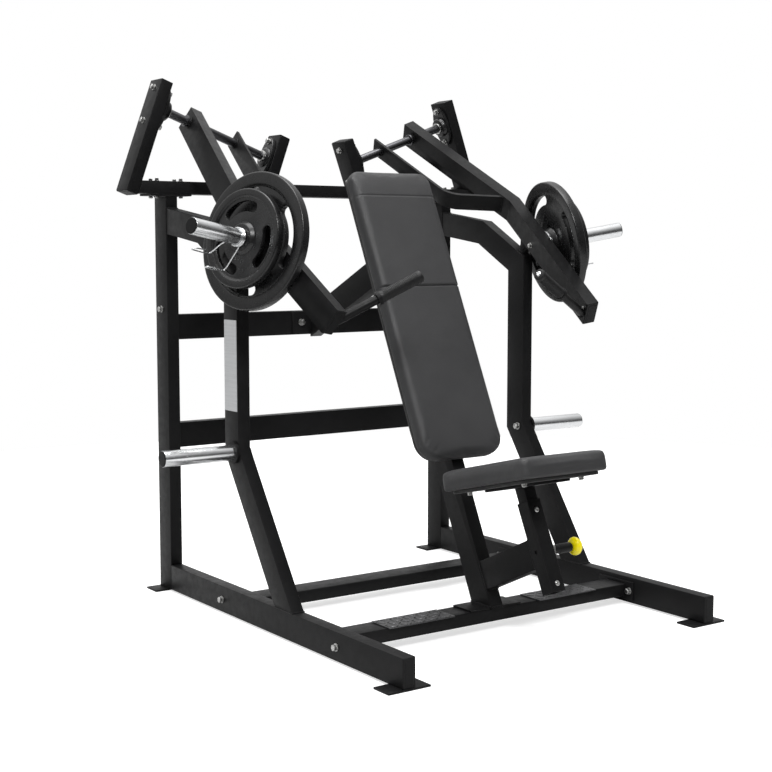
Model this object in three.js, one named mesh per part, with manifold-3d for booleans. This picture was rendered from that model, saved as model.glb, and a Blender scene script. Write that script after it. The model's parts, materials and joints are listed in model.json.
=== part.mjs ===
// Plate-loaded incline chest press: a welded and bolted tube frame, two independent press arms on
// inclined shafts, an adjustable seat and a fixed padded backrest.
// Millimetres. X runs across the machine, Y from the user's feet to the back, Z up from the floor.
import * as THREE from "three";
import { mergeVertices } from "three/addons/utils/BufferGeometryUtils.js";
import Module from "manifold-3d";

const wasm = await Module();
wasm.setup();

// ---------- driving dimensions ----------
// Y is counted from the front ends of the base rails; the finished machine is moved by CENTRE_Y.
const CENTRE_Y = 729.4;
const HALF_WIDTH = 600; // to the outer faces of the base rails
const TUBE_W = 42.5; // main tube, narrow side
const TUBE_D = 85; // main tube, wide side
const CENTRE_W = 46; // centre tubes, narrow side
const CENTRE_D = 90;
const WALL = 3;
const GAP = 0.3; // left between pieces that meet on a slanted face

const FOOT_T = 6;
const RAIL_TOP = FOOT_T + TUBE_D;
const REAR_FRONT_Y = 1353; // front faces of the rear uprights
const REAR_MID_Y = REAR_FRONT_Y + TUBE_D / 2;
const REAR_BACK_Y = REAR_FRONT_Y + TUBE_D;
const SIDE_X = HALF_WIDTH - TUBE_W / 2; // middle of the side frames
const INNER_X = HALF_WIDTH - TUBE_W; // inner faces of the side frames

const FLANGE_T = 6;
const CROSS_TUBE_H = 41;
const CROSS_TUBE_D = 90;
const BASE_CROSS_Z = 46.5;
const FRONT_CROSS_Y = 385;
const REAR_CROSS_Y = 915;
const CROSS_TOP = BASE_CROSS_Z + CROSS_TUBE_H / 2;

const BEAM_Z0 = 1352; // underside of the top beam
const BEAM_Z1 = 1394;
const BEAM_PLATE_T = 7;

// Posts and pivot shafts lean 20 degrees; a post's axis is square to its shaft.
const LEAN = THREE.MathUtils.degToRad(20);
const POST_OUTER = { x: 720, z: 1355.7, length: 392 };
const POST_INNER = { x: 193.3, z: BEAM_Z1, length: 174.4 };
const PIVOT = new THREE.Vector3(562.6, REAR_MID_Y, 1622.1); // shaft, at the outer bearing's face
const SHAFT_D = 30;
const BEARING_T = 35.5;
const INNER_BEARING_T = 28.5;
const SHAFT_RUN = 375.3; // between the faces of the two bearings

// The press arm is flat: it lies in one plane through the pivot, this far below horizontal.
const ARM_DROP = THREE.MathUtils.degToRad(32.9);
const ARM_BEND = THREE.MathUtils.degToRad(17.7); // its lower leg turns inwards
const ARM_AT = -101; // along the shaft from the outer bearing
const ARM_BACK = -50; // tube end behind the shaft
const ARM_UPPER = 536;
const ARM_LOWER = 596;
const ARM_SINK = -6; // tube axis below the shaft axis
const BAR_T = 10;
const BAR_W = 64;
const BAR_AT = -273;

const SLEEVE_D = 50;
const SLEEVE_AT = 215; // down the lower leg from the bend
const SLEEVE_END = 318; // from the leg's axis
const HORN_LENGTH = 252;

// Backrest, its spine and the centre struts lean or rise by the same angle.
const INCLINE = THREE.MathUtils.degToRad(25.1);
const SEAT_TILT = THREE.MathUtils.degToRad(13.5);

// ---------- materials ----------
const coat = new THREE.MeshStandardMaterial({ color: 0x1a1a1b, roughness: 0.55, metalness: 0.2 });
const chrome = new THREE.MeshStandardMaterial({ color: 0xd6d8da, roughness: 0.15, metalness: 1 });
const steel = new THREE.MeshStandardMaterial({ color: 0x9a9ca0, roughness: 0.35, metalness: 1 });
const castIron = new THREE.MeshStandardMaterial({ color: 0x242526, roughness: 0.6, metalness: 0.4 });
const rubber = new THREE.MeshStandardMaterial({ color: 0x101010, roughness: 0.85, metalness: 0 });
const leather = new THREE.MeshStandardMaterial({ color: 0x1d1e20, roughness: 0.5, metalness: 0 });
const board = new THREE.MeshStandardMaterial({ color: 0x161616, roughness: 0.9, metalness: 0 });
const yellow = new THREE.MeshStandardMaterial({ color: 0xe8cf12, roughness: 0.4, metalness: 0 });
const silver = new THREE.MeshStandardMaterial({ color: 0xc9cccf, roughness: 0.35, metalness: 0.8 });

// ---------- solids ----------
function solid(geometry) {
  const bare = geometry.index ? geometry.toNonIndexed() : geometry.clone();
  bare.deleteAttribute("normal");
  bare.deleteAttribute("uv");
  const merged = mergeVertices(bare, 1e-4);
  const corners = merged.index.array;
  const triangles = [];
  for (let i = 0; i < corners.length; i += 3) {
    const [a, b, c] = corners.slice(i, i + 3);
    if (a !== b && b !== c && c !== a) triangles.push(a, b, c);
  }
  const build = (order) =>
    new wasm.Manifold(
      new wasm.Mesh({
        numProp: 3,
        vertProperties: merged.attributes.position.array,
        triVerts: new Uint32Array(order),
      }),
    );
  const made = build(triangles);
  return made.volume() > 0 ? made : build(triangles.reverse());
}

function geometryOf(body) {
  const surface = body.getMesh();
  const geometry = new THREE.BufferGeometry();
  geometry.setAttribute("position", new THREE.BufferAttribute(surface.vertProperties, 3));
  geometry.setIndex(new THREE.BufferAttribute(surface.triVerts, 1));
  geometry.computeVertexNormals();
  return geometry;
}

// A frame of reference: drawings are made in its x-y plane and given thickness along its z.
function frameAt(origin, x, y) {
  const z = new THREE.Vector3().crossVectors(x, y);
  return new THREE.Matrix4().makeBasis(x, y, z).setPosition(origin);
}
const vec = (x, y, z) => new THREE.Vector3(x, y, z);
const X_AXIS = vec(1, 0, 0);
const Y_AXIS = vec(0, 1, 0);
const Z_AXIS = vec(0, 0, 1);
const sideView = (x) => frameAt(vec(x, 0, 0), Y_AXIS, Z_AXIS); // draws (y, z)
const frontView = (y) => frameAt(vec(0, y, 0), X_AXIS, Z_AXIS); // draws (x, z), thickness to the front

function block(x0, x1, y0, y1, z0, z1) {
  const geometry = new THREE.BoxGeometry(x1 - x0, y1 - y0, z1 - z0);
  return solid(geometry.translate((x0 + x1) / 2, (y0 + y1) / 2, (z0 + z1) / 2));
}

function extrusion(shape, from, to, frame, curveSegments = 6) {
  const geometry = new THREE.ExtrudeGeometry(shape, {
    depth: to - from,
    bevelEnabled: false,
    curveSegments,
  });
  return solid(geometry.translate(0, 0, from).applyMatrix4(frame));
}

const outline = (points) => new THREE.Shape(points.map(([x, y]) => new THREE.Vector2(x, y)));

// The two mitred edges of a band of the given half width along a path.
function band(path, half, extend = 0) {
  const points = path.map(([x, y]) => new THREE.Vector2(x, y));
  const headings = points.slice(1).map((p, i) => p.clone().sub(points[i]).normalize());
  points[0].addScaledVector(headings[0], -extend);
  points.at(-1).addScaledVector(headings.at(-1), extend);
  const normals = headings.map((h) => new THREE.Vector2(-h.y, h.x));
  const offsets = points.map((_, i) => {
    const before = normals[Math.max(i - 1, 0)];
    const after = normals[Math.min(i, normals.length - 1)];
    return before.clone().add(after).multiplyScalar(half / (1 + before.dot(after)));
  });
  const upper = points.map((p, i) => p.clone().add(offsets[i]));
  const lower = points.map((p, i) => p.clone().sub(offsets[i]));
  return new THREE.Shape([...upper, ...lower.reverse()]);
}

// A hollow rectangular tube along a path: depth is measured in the drawing, width across it.
function tube(path, depth, width, frame, wall = WALL) {
  const outer = extrusion(band(path, depth / 2), -width / 2, width / 2, frame);
  const hollow = band(path, depth / 2 - wall, 1);
  return outer.subtract(extrusion(hollow, -width / 2 + wall, width / 2 - wall, frame));
}

// A turned piece: profile points are (radius, distance along the axis).
function turned(profile, origin, axis, segments = 20) {
  const closed = profile[0][0] > 0 ? [...profile, profile[0]] : profile;
  const points = closed.map(([radius, along]) => new THREE.Vector2(radius, along));
  const lathe = new THREE.LatheGeometry(points, segments);
  const turn = new THREE.Quaternion().setFromUnitVectors(Y_AXIS, axis);
  return solid(lathe.applyQuaternion(turn).translate(origin.x, origin.y, origin.z));
}

function rod(from, to, radius, segments = 20) {
  const run = to.clone().sub(from);
  const length = run.length();
  const profile = [[0, 0], [radius, 0], [radius, length], [0, length]];
  return turned(profile, from, run.normalize(), segments);
}

const keepAbove = (body, z) => body.subtract(block(-1000, 1000, -200, 1700, z - 400, z));

// ---------- the model ----------
const press = new THREE.Group();
const machine = new THREE.Group();
machine.position.y = -CENTRE_Y;
press.add(machine);
const mirrored = new THREE.Group();
mirrored.scale.x = -1;
machine.add(mirrored);

function add(name, body, material) {
  const mesh = new THREE.Mesh(geometryOf(body), material);
  mesh.name = name;
  machine.add(mesh);
}

// A piece of the right side and its mirror image on the left.
function addPair(name, body, material) {
  add(name + "_right", body, material);
  const mesh = new THREE.Mesh(geometryOf(body), material);
  mesh.name = name + "_left";
  mirrored.add(mesh);
}

// ---------- side frames ----------
function baseRail() {
  const z = FOOT_T + TUBE_D / 2;
  return tube([[0, z], [REAR_FRONT_Y, z]], TUBE_D, TUBE_W, sideView(SIDE_X));
}

function rearUpright() {
  const top = BEAM_Z0 - BEAM_PLATE_T;
  const post = tube([[REAR_MID_Y, FOOT_T], [REAR_MID_Y, top]], TUBE_D, TUBE_W, sideView(SIDE_X));
  const plateHalf = 75;
  const plate = block(
    SIDE_X - plateHalf, SIDE_X + plateHalf, REAR_FRONT_Y, REAR_BACK_Y, top, BEAM_Z0,
  );
  return post.add(plate);
}

// Leaves the rear upright, bends down twice to a vertical stretch and braces forward to the rail.
function frontUpright() {
  const path = [
    [REAR_FRONT_Y, 1261.4],
    [1118, 1228.5],
    [917.75, 1116.6],
    [917.75, 538.5],
    [585, 52.7],
  ];
  return keepAbove(tube(path, TUBE_D, TUBE_W, sideView(SIDE_X)), RAIL_TOP)
    .subtract(block(500, 650, REAR_FRONT_Y, REAR_BACK_Y, 1000, 1400));
}

function storageHorn() {
  const bore = SLEEVE_D / 2 - 3;
  const profile = [
    [bore, 0.3], [35, 0.3], [35, 10], [SLEEVE_D / 2, 10],
    [SLEEVE_D / 2, HORN_LENGTH - 4], [SLEEVE_D / 2 - 4, HORN_LENGTH], [0, HORN_LENGTH],
    [0, HORN_LENGTH - 8], [bore, HORN_LENGTH - 8],
  ];
  return turned(profile, vec(HALF_WIDTH, 899, 535), X_AXIS);
}

addPair("base_rail", baseRail(), coat);
addPair("rear_upright", rearUpright(), coat);
addPair("front_upright", frontUpright(), coat);
addPair("storage_horn", storageHorn(), chrome);
addPair("foot_plate_front", block(508, 648, -5, 67, 0, FOOT_T), coat);
addPair("foot_plate_rear", block(508, 648, 1374, 1446, 0, FOOT_T), coat);

// ---------- cross members ----------
// A tube across the machine, welded to a flange with a drain hole at each end.
function crossMember(y, z, depth, height, flange) {
  const end = INNER_X - FLANGE_T;
  const path = [[-end, z], [end, z]];
  let member = tube(path, height, depth, frontView(y));
  for (const side of [-1, 1]) {
    const x = side * (end + FLANGE_T / 2);
    member = member.add(
      block(
        x - FLANGE_T / 2, x + FLANGE_T / 2,
        y - flange.depth / 2, y + flange.depth / 2, z - flange.height / 2, z + flange.height / 2,
      ),
    );
  }
  return member.subtract(rod(vec(-INNER_X, y, z), vec(INNER_X, y, z), 8, 12));
}
const BASE_FLANGE = { depth: 160, height: 62 };
const REAR_FLANGE = { depth: TUBE_W, height: 150 };
const REAR_CROSS_DEPTH = TUBE_W;
const REAR_CROSS_Y_MID = REAR_FRONT_Y + 22 + REAR_CROSS_DEPTH / 2;
add("base_crossbar_front",
  crossMember(FRONT_CROSS_Y, BASE_CROSS_Z, CROSS_TUBE_D, CROSS_TUBE_H, BASE_FLANGE), coat);
add("base_crossbar_rear",
  crossMember(REAR_CROSS_Y, BASE_CROSS_Z, CROSS_TUBE_D, CROSS_TUBE_H, BASE_FLANGE), coat);
add("rear_crossbar_upper",
  crossMember(REAR_CROSS_Y_MID, 904.5, REAR_CROSS_DEPTH, TUBE_D, REAR_FLANGE), coat);
add("rear_crossbar_lower",
  crossMember(REAR_CROSS_Y_MID, 534.5, REAR_CROSS_DEPTH, TUBE_D, REAR_FLANGE), coat);

const lean = vec(Math.sin(LEAN), 0, Math.cos(LEAN)); // along a post of the left side, upwards
const shaftAxis = vec(Math.cos(LEAN), 0, Math.sin(LEAN)); // right shaft, outwards and up
const postAxis = vec(-lean.x, 0, lean.z); // right posts, inwards and up

function post({ x, z, length }, below = 0) {
  const path = [
    [x - postAxis.x * below, z - postAxis.z * below],
    [x + postAxis.x * length, z + postAxis.z * length],
  ];
  return tube(path, TUBE_W, TUBE_D, frontView(REAR_MID_Y));
}
const outerPost = post(POST_OUTER);

// The top beam runs between the two outer posts and its ends are cut to their lean.
function topBeam() {
  const z = (BEAM_Z0 + BEAM_Z1) / 2;
  let beam = tube([[-720, z], [720, z]], BEAM_Z1 - BEAM_Z0, TUBE_D, frontView(REAR_MID_Y));
  for (const side of [-1, 1]) {
    const edge = (height) =>
      side * (POST_OUTER.x - (height - POST_OUTER.z) * Math.tan(LEAN) -
        (TUBE_W / 2 + GAP) / Math.cos(LEAN));
    const waste = [
      [edge(1300), 1300], [side * 900, 1300], [side * 900, 1450], [edge(1450), 1450],
    ];
    beam = beam.subtract(extrusion(outline(waste), -60, 60, frontView(REAR_MID_Y)));
  }
  return beam;
}
add("top_beam", topBeam(), coat);
addPair("post_outer", outerPost, coat);
addPair("post_inner", keepAbove(post(POST_INNER, 40), BEAM_Z1), coat);

// ---------- pivot bearings ----------
const shaftPoint = (along) => PIVOT.clone().addScaledVector(shaftAxis, along);
const OUTER_FACE = BEARING_T; // shaft coordinate of the outer post's face
const INNER_FACE = -SHAFT_RUN - INNER_BEARING_T;

// Two-bolt flange bearing standing on a post's face; way is +1 when it opens towards the outside.
function bearing(face, thickness, way) {
  const flange = 13;
  const bore = SHAFT_D / 2 + 0.4;
  const profile = [
    [bore, GAP], [38, GAP], [38, flange + 5], [31, thickness - 6], [22, thickness - 6],
    [22, thickness], [bore, thickness],
  ];
  const axis = shaftAxis.clone().multiplyScalar(way);
  const origin = shaftPoint(face);
  const hub = turned(profile, origin, axis);
  const oval = new THREE.Shape().absellipse(0, 0, 40, 74, 0, 2 * Math.PI);
  const hole = new THREE.Path().absarc(0, 0, 36, 0, 2 * Math.PI);
  oval.holes.push(hole);
  const plane = frameAt(origin, Y_AXIS, postAxis);
  const [from, to] = way > 0 ? [GAP, flange] : [-flange, -GAP];
  return hub.add(extrusion(oval, from, to, plane));
}
addPair("bearing_outer", bearing(OUTER_FACE, BEARING_T, -1), castIron);
addPair("bearing_inner", bearing(INNER_FACE, INNER_BEARING_T, 1), castIron);

// ---------- press arms ----------
const armOut = postAxis.clone().negate(); // down the posts
const armHeading = vec(0, -Math.cos(ARM_DROP), 0).addScaledVector(armOut, Math.sin(ARM_DROP));
const armUp = vec().crossVectors(armHeading, shaftAxis);
const armFrame = frameAt(PIVOT, armHeading, shaftAxis);
const armPoint = (down, along, up) =>
  PIVOT.clone().addScaledVector(armHeading, down).addScaledVector(shaftAxis, along)
    .addScaledVector(armUp, up);
const BEND = [ARM_UPPER, ARM_AT];
const lowerStep = [Math.cos(ARM_BEND), -Math.sin(ARM_BEND)];
const ARM_TIP = [BEND[0] + lowerStep[0] * ARM_LOWER, BEND[1] + lowerStep[1] * ARM_LOWER];
const lowerHeading = vec().addScaledVector(armHeading, lowerStep[0])
  .addScaledVector(shaftAxis, lowerStep[1]);
const lowerOut = vec().crossVectors(armUp, lowerHeading); // square to the lower leg, outwards
const sunk = armFrame.clone().setPosition(armPoint(0, 0, ARM_SINK));
const lowerPoint = (down, out, up = ARM_SINK) =>
  armPoint(BEND[0], BEND[1], up).addScaledVector(lowerHeading, down)
    .addScaledVector(lowerOut, out);

const boreThrough = rod(shaftPoint(-SHAFT_RUN), shaftPoint(0), SHAFT_D / 2 + 0.4);

function armMain() {
  return tube([[ARM_BACK, ARM_AT], BEND, ARM_TIP], TUBE_W, TUBE_D, sunk).subtract(boreThrough);
}

// Flat bar: straight beside the upper leg, then bent across to it.
function armBar() {
  const corner = [373.6, BAR_AT];
  const turn = THREE.MathUtils.degToRad(52.2);
  const radius = 100;
  const run = radius * Math.tan(turn / 2);
  const path = [[-40, BAR_AT]];
  const centre = [corner[0] - run, BAR_AT + radius];
  const steps = 6;
  for (let i = 0; i <= steps; i++) {
    const angle = (turn * i) / steps;
    path.push([centre[0] + radius * Math.sin(angle), centre[1] - radius * Math.cos(angle)]);
  }
  const reach = ARM_AT - TUBE_W / 2 - GAP;
  path.push([
    corner[0] + (reach + 20 - BAR_AT) / Math.tan(turn), reach + 20,
  ]);
  const waste = outline([[300, reach], [700, reach], [700, reach + 100], [300, reach + 100]]);
  return extrusion(band(path, BAR_T / 2), -BAR_W / 2, BAR_W / 2, armFrame)
    .subtract(extrusion(waste, -BAR_W, BAR_W, armFrame))
    .subtract(boreThrough);
}

function weightSleeve() {
  const radius = SLEEVE_D / 2;
  const start = TUBE_W / 2 + GAP;
  const profile = [
    [radius - 3, start], [45, start], [45, start + 10], [radius, start + 10],
    [radius, SLEEVE_END - 4], [radius - 4, SLEEVE_END], [0, SLEEVE_END],
    [0, SLEEVE_END - 8], [radius - 3, SLEEVE_END - 8],
  ];
  return turned(profile, lowerPoint(SLEEVE_AT, 0), lowerOut);
}

const HANDLE_TIP = vec(229.3, 419.1, 1090.6);
const HANDLE_ROOT = vec(490.4, 496.8, 956);
const HANDLE_D = 28;
const GRIP_LENGTH = 150;
const handleAxis = HANDLE_TIP.clone().sub(HANDLE_ROOT).normalize();

function handleRod() {
  const from = HANDLE_ROOT.clone().addScaledVector(handleAxis, -40);
  const to = HANDLE_TIP.clone().addScaledVector(handleAxis, -6);
  const armBody = extrusion(
    band([BEND, ARM_TIP], TUBE_W / 2 + GAP, 40), -TUBE_D, TUBE_D, sunk,
  );
  const beyond = extrusion(
    band([[BEND[0] + lowerOffset(60)[0], BEND[1] + lowerOffset(60)[1]],
      [ARM_TIP[0] + lowerOffset(60)[0], ARM_TIP[1] + lowerOffset(60)[1]]], 45, 40),
    -TUBE_D, TUBE_D, sunk,
  );
  return rod(from, to, HANDLE_D / 2).subtract(armBody).subtract(beyond);
}
// A step square to the lower leg, in the arm's drawing plane.
function lowerOffset(out) {
  return [Math.sin(ARM_BEND) * out, Math.cos(ARM_BEND) * out];
}

function handleGrip() {
  const bore = HANDLE_D / 2 + 0.4;
  const start = HANDLE_ROOT.distanceTo(HANDLE_TIP) - GRIP_LENGTH;
  const end = start + GRIP_LENGTH;
  const profile = [
    [bore, start], [21, start], [21, start + 6], [18, start + 9], [18, end - 5],
    [14, end], [0, end], [0, end - 5], [bore, end - 5],
  ];
  return turned(profile, HANDLE_ROOT, handleAxis);
}

// Rubber buffer on the front upright that the arm rests on.
function armStop() {
  const head = lowerPoint(118, 0, ARM_SINK - TUBE_D / 2 - 0.5);
  const foot = head.clone().addScaledVector(armUp, -90);
  const slope = Math.atan2(1228.5 - 1116.6, 1118 - 917.75);
  const surface = (y) => 1144.5 + (y - 874.7) * Math.tan(slope) + GAP;
  const under = [[700, surface(700)], [1000, surface(1000)], [1000, 900], [700, 900]];
  return rod(foot, head, 17).subtract(extrusion(outline(under), -200, 200, sideView(SIDE_X)));
}

addPair("pivot_shaft", rod(shaftPoint(INNER_FACE + 2), shaftPoint(OUTER_FACE - 2), SHAFT_D / 2), steel);
addPair("arm_main", armMain(), coat);
addPair("arm_bar", armBar(), coat);
addPair("weight_sleeve", weightSleeve(), chrome);
addPair("handle_rod", handleRod(), coat);
addPair("handle_grip", handleGrip(), rubber);
addPair("arm_stop", armStop(), rubber);

// ---------- weight plates and their spring clip ----------
const plateFrame = frameAt(lowerPoint(SLEEVE_AT, 0), armUp, lowerHeading);

// A finger slot bent round the plate's centre.
function kidney(radius, half, spread, at) {
  const a0 = at - spread;
  const a1 = at + spread;
  const shape = new THREE.Shape();
  const end = (angle) => [radius * Math.cos(angle), radius * Math.sin(angle)];
  shape.absarc(0, 0, radius + half, a0, a1, false);
  shape.absarc(...end(a1), half, a1, a1 + Math.PI, false);
  shape.absarc(0, 0, radius - half, a1, a0, true);
  shape.absarc(...end(a0), half, a0 + Math.PI, a0 + 2 * Math.PI, false);
  return shape;
}

function weightPlate({ radius, from, to, hubFrom, hubTo, rim, web, slot }) {
  const bore = SLEEVE_D / 2 + 1;
  const middle = (from + to) / 2;
  const profile = [
    [bore, hubFrom], [40, hubFrom], [52, middle - web / 2], [radius - rim, middle - web / 2],
    [radius - rim + 6, from], [radius, from], [radius, to], [radius - rim + 6, to],
    [radius - rim, middle + web / 2],
    [52, middle + web / 2], [40, hubTo], [bore, hubTo],
  ];
  let plate = turned(profile, lowerPoint(SLEEVE_AT, 0), lowerOut, 36);
  for (let i = 0; i < 3; i++) {
    const at = THREE.MathUtils.degToRad(slot.at + 120 * i);
    const opening = kidney(slot.radius, slot.half, THREE.MathUtils.degToRad(slot.spread), at);
    plate = plate.subtract(extrusion(opening, from - 20, to + 20, plateFrame, 4));
  }
  return plate;
}
const LARGE_PLATE = {
  radius: 211, from: 41, to: 71, hubFrom: 33, hubTo: 86, rim: 42, web: 18,
  slot: { radius: 149, half: 18, spread: 31, at: 48 },
};
const SMALL_PLATE = {
  radius: 151, from: 87, to: 114, hubFrom: 86.6, hubTo: 120, rim: 26, web: 14,
  slot: { radius: 98, half: 18, spread: 30, at: 70 },
};
addPair("plate_large", weightPlate(LARGE_PLATE), castIron);
addPair("plate_small", weightPlate(SMALL_PLATE), castIron);

// Spring clip: a close coil on the sleeve with two wire loops to squeeze it open.
// A wire's points are (up, down the leg, out along the sleeve), from the sleeve's axis.
const CLIP_WIRES = [
  [[-21, 21, 125], [-60, 25, 126], [-98, 27, 128], [-107, 28, 142], [-107, 30, 198],
    [-103, 35, 211], [-96, 41, 205], [-94, 43, 168]],
  [[-25, -17, 133], [-57, -38, 133], [-96, -52, 134], [-105, -54, 147], [-103, -52, 203],
    [-98, -46, 217], [-90, -42, 208], [-88, -42, 170]],
];
function springClip() {
  const inner = SLEEVE_D / 2 + 0.5;
  const wire = 2.2;
  const from = 120.5;
  const to = 137;
  const coil = [
    [inner, from], [inner + 2.4 * wire, from], [inner + 2.4 * wire, to], [inner, to],
  ];
  let clip = turned(coil, lowerPoint(SLEEVE_AT, 0), lowerOut);
  for (const points of CLIP_WIRES) {
    const round = new THREE.Shape();
    round.absarc(0, 0, wire, 0, 2 * Math.PI);
    const path = points.map(([high, down, out]) =>
      lowerPoint(SLEEVE_AT + down, out, ARM_SINK + high));
    const loop = new THREE.ExtrudeGeometry(round, {
      steps: 20,
      curveSegments: 3,
      extrudePath: new THREE.CatmullRomCurve3(path),
    });
    clip = clip.add(solid(loop));
  }
  return clip;
}
addPair("spring_clip", springClip(), steel);

// ---------- centre frame and backrest ----------
const SPINE_FOOT = [386, 79.5]; // a point of the spine's axis just above the front crossbar
const up = [Math.sin(INCLINE), Math.cos(INCLINE)]; // along the spine, in (y, z)
const ahead = [-Math.cos(INCLINE), Math.sin(INCLINE)]; // square to it, towards the user
const spinePoint = (along, out = 0) => [
  SPINE_FOOT[0] + up[0] * along + ahead[0] * out,
  SPINE_FOOT[1] + up[1] * along + ahead[1] * out,
];
const SPINE_FRONT = CENTRE_D / 2;
const STRUT_AT = 1163.4; // along the spine
const SEAT_BEAM_AT = 72.8;
const PLATE_T = 6;

function spine() {
  const path = [spinePoint(-60), spinePoint(1250)];
  const stem = keepAbove(tube(path, CENTRE_D, CENTRE_W, sideView(0)), CROSS_TOP);
  return stem.add(block(-98, 98, 338, 428, CROSS_TOP, CROSS_TOP + PLATE_T));
}

// Strut from the upper rear crossbar up to the spine, square to the spine.
function spineStrut() {
  const [y0, z0] = spinePoint(STRUT_AT, -SPINE_FRONT - GAP);
  const reach = 560;
  const path = [[y0, z0], [y0 - ahead[0] * reach, z0 - ahead[1] * reach]];
  const behind = REAR_CROSS_Y_MID - REAR_CROSS_DEPTH / 2 - FLANGE_T;
  const strut = tube(path, CENTRE_D, CENTRE_W, sideView(0))
    .subtract(block(-100, 100, behind + 2, 1700, 600, 1400));
  return strut.add(block(-98, 98, behind, behind + FLANGE_T - GAP, 864, 945));
}
const backFrame = frameAt(
  vec(0, ...SPINE_FOOT), X_AXIS, vec(0, up[0], up[1]),
);

// A pad outline with rounded corners, from low to high along y.
function padOutline(half, y0, y1, r0, r1) {
  const shape = new THREE.Shape();
  shape.absarc(half - r0, y0 + r0, r0, -Math.PI / 2, 0, false);
  shape.absarc(half - r1, y1 - r1, r1, 0, Math.PI / 2, false);
  shape.absarc(-half + r1, y1 - r1, r1, Math.PI / 2, Math.PI, false);
  shape.absarc(-half + r0, y0 + r0, r0, Math.PI, 1.5 * Math.PI, false);
  return shape;
}

function pad(shape, from, to, frame, round) {
  const geometry = new THREE.ExtrudeGeometry(shape, {
    depth: to - from - 2 * round,
    bevelThickness: round,
    bevelSize: round,
    bevelOffset: -round,
    bevelSegments: 2,
    curveSegments: 6,
  });
  return solid(geometry.translate(0, 0, from + round).applyMatrix4(frame));
}
const BACK_BOARD_T = 12;
const BACK_TOP = 1441;
const BACK_BOTTOM = 446;
const BACK_PAD_FACE = 101; // from the spine's axis
add("backrest_spine", spine(), coat);
add("spine_strut", spineStrut(), coat);
add("backrest_board",
  extrusion(padOutline(155, BACK_BOTTOM + 6, BACK_TOP - 6, 60, 34),
    SPINE_FRONT + GAP, SPINE_FRONT + BACK_BOARD_T, backFrame), board);
add("backrest_pad",
  pad(padOutline(158, BACK_BOTTOM, BACK_TOP, 64, 40),
    SPINE_FRONT + BACK_BOARD_T + GAP, BACK_PAD_FACE, backFrame, 13), leather);

// ---------- seat ----------
// The seat's sleeve is parallel to the spine.
const SLEEVE_LOW = [73, 168]; // (y, z) of its lower end, on its axis
const postPoint = (along, out = 0) => [
  SLEEVE_LOW[0] + up[0] * along + ahead[0] * out,
  SLEEVE_LOW[1] + up[1] * along + ahead[1] * out,
];
const SEAT_SLEEVE = { width: 50, length: 278 };
const SEAT_POST = { width: 42, from: 6 };
const PIN_AT = 126.4; // along the sleeve
const HOLE_STEP = 25;
const PIN_D = 12;

const seatFrame = frameAt(
  vec(0, 35.9, 581.2), X_AXIS, vec(0, Math.cos(SEAT_TILT), -Math.sin(SEAT_TILT)),
);
const SEAT_T = 57;
const SEAT_BOARD_T = 10;
const BRACKET_T = 8;
const seatUnder = -SEAT_T - SEAT_BOARD_T;

const pinRod = (radius, x0, x1) => {
  const [y, z] = postPoint(PIN_AT);
  return rod(vec(x0, y, z), vec(x1, y, z), radius);
};

function seatSleeve() {
  const { width, length } = SEAT_SLEEVE;
  return tube([postPoint(0), postPoint(length)], width, width, sideView(0))
    .subtract(pinRod(PIN_D / 2 + 0.6, -60, 60));
}

// Short beam from the spine to the seat sleeve.
function seatBeam() {
  const path = [
    spinePoint(SEAT_BEAM_AT, SPINE_FRONT + GAP), spinePoint(SEAT_BEAM_AT, 420),
  ];
  const front = postPoint(-300, -SEAT_SLEEVE.width / 2 - GAP);
  const frontTop = postPoint(600, -SEAT_SLEEVE.width / 2 - GAP);
  const waste = outline([front, frontTop, [frontTop[0] - 600, frontTop[1]],
    [front[0] - 600, front[1]]]);
  return tube(path, CENTRE_D, CENTRE_W, sideView(0))
    .subtract(extrusion(waste, -60, 60, sideView(0)));
}

function seatPost() {
  const { width, from } = SEAT_POST;
  const stem = tube([postPoint(from), postPoint(420)], width, width, sideView(0));
  const aboveBracket = extrusion(
    outline([[-200, -100], [200, -100], [200, 600], [-200, 600]]),
    seatUnder - GAP - 2, seatUnder + 300, seatFrame,
  );
  const bracket = extrusion(
    outline([[-70, 70], [70, 70], [70, 300], [-70, 300]]),
    seatUnder - BRACKET_T, seatUnder - GAP, seatFrame,
  );
  let body = stem.subtract(aboveBracket).add(bracket);
  for (let i = -4; i <= 0; i++) {
    const hole = pinRod(PIN_D / 2 + 0.6, 0, 60);
    body = body.subtract(hole.translate([0, up[0] * HOLE_STEP * i, up[1] * HOLE_STEP * i]));
  }
  return body;
}

add("seat_sleeve", seatSleeve(), coat);
add("seat_beam", seatBeam(), coat);
add("seat_post", seatPost(), coat);
add("seat_board",
  extrusion(padOutline(146, 10, 376, 30, 30), seatUnder, -SEAT_T - GAP, seatFrame), board);
add("seat_pad", pad(padOutline(163, -6, 392, 24, 24), -SEAT_T, 2, seatFrame, 10), leather);

// ---------- seat pin ----------
function pinHousing() {
  const [y, z] = postPoint(PIN_AT);
  const bore = PIN_D / 2 + 0.5;
  const x = SEAT_SLEEVE.width / 2 + GAP;
  const profile = [[bore, 0], [19, 0], [19, 8], [14, 8], [14, 84], [bore, 84]];
  return turned(profile, vec(x, y, z), X_AXIS);
}

function pinKnob() {
  const [y, z] = postPoint(PIN_AT);
  const start = 114;
  const profile = [
    [PIN_D / 2 + 0.2, 0], [13, 0], [22, 3], [27.5, 9], [28, 14], [25, 21], [16, 27],
    [0, 29], [0, 18], [PIN_D / 2 + 0.2, 18],
  ];
  return turned(profile, vec(start, y, z), X_AXIS);
}
add("pin_housing", pinHousing(), steel);
const PIN_TIP_X = SEAT_POST.width / 2 + 0.4; // drawn just clear of the post
add("pull_pin", pinRod(PIN_D / 2, PIN_TIP_X, 131), steel);
add("pin_knob", pinKnob(), yellow);

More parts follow.
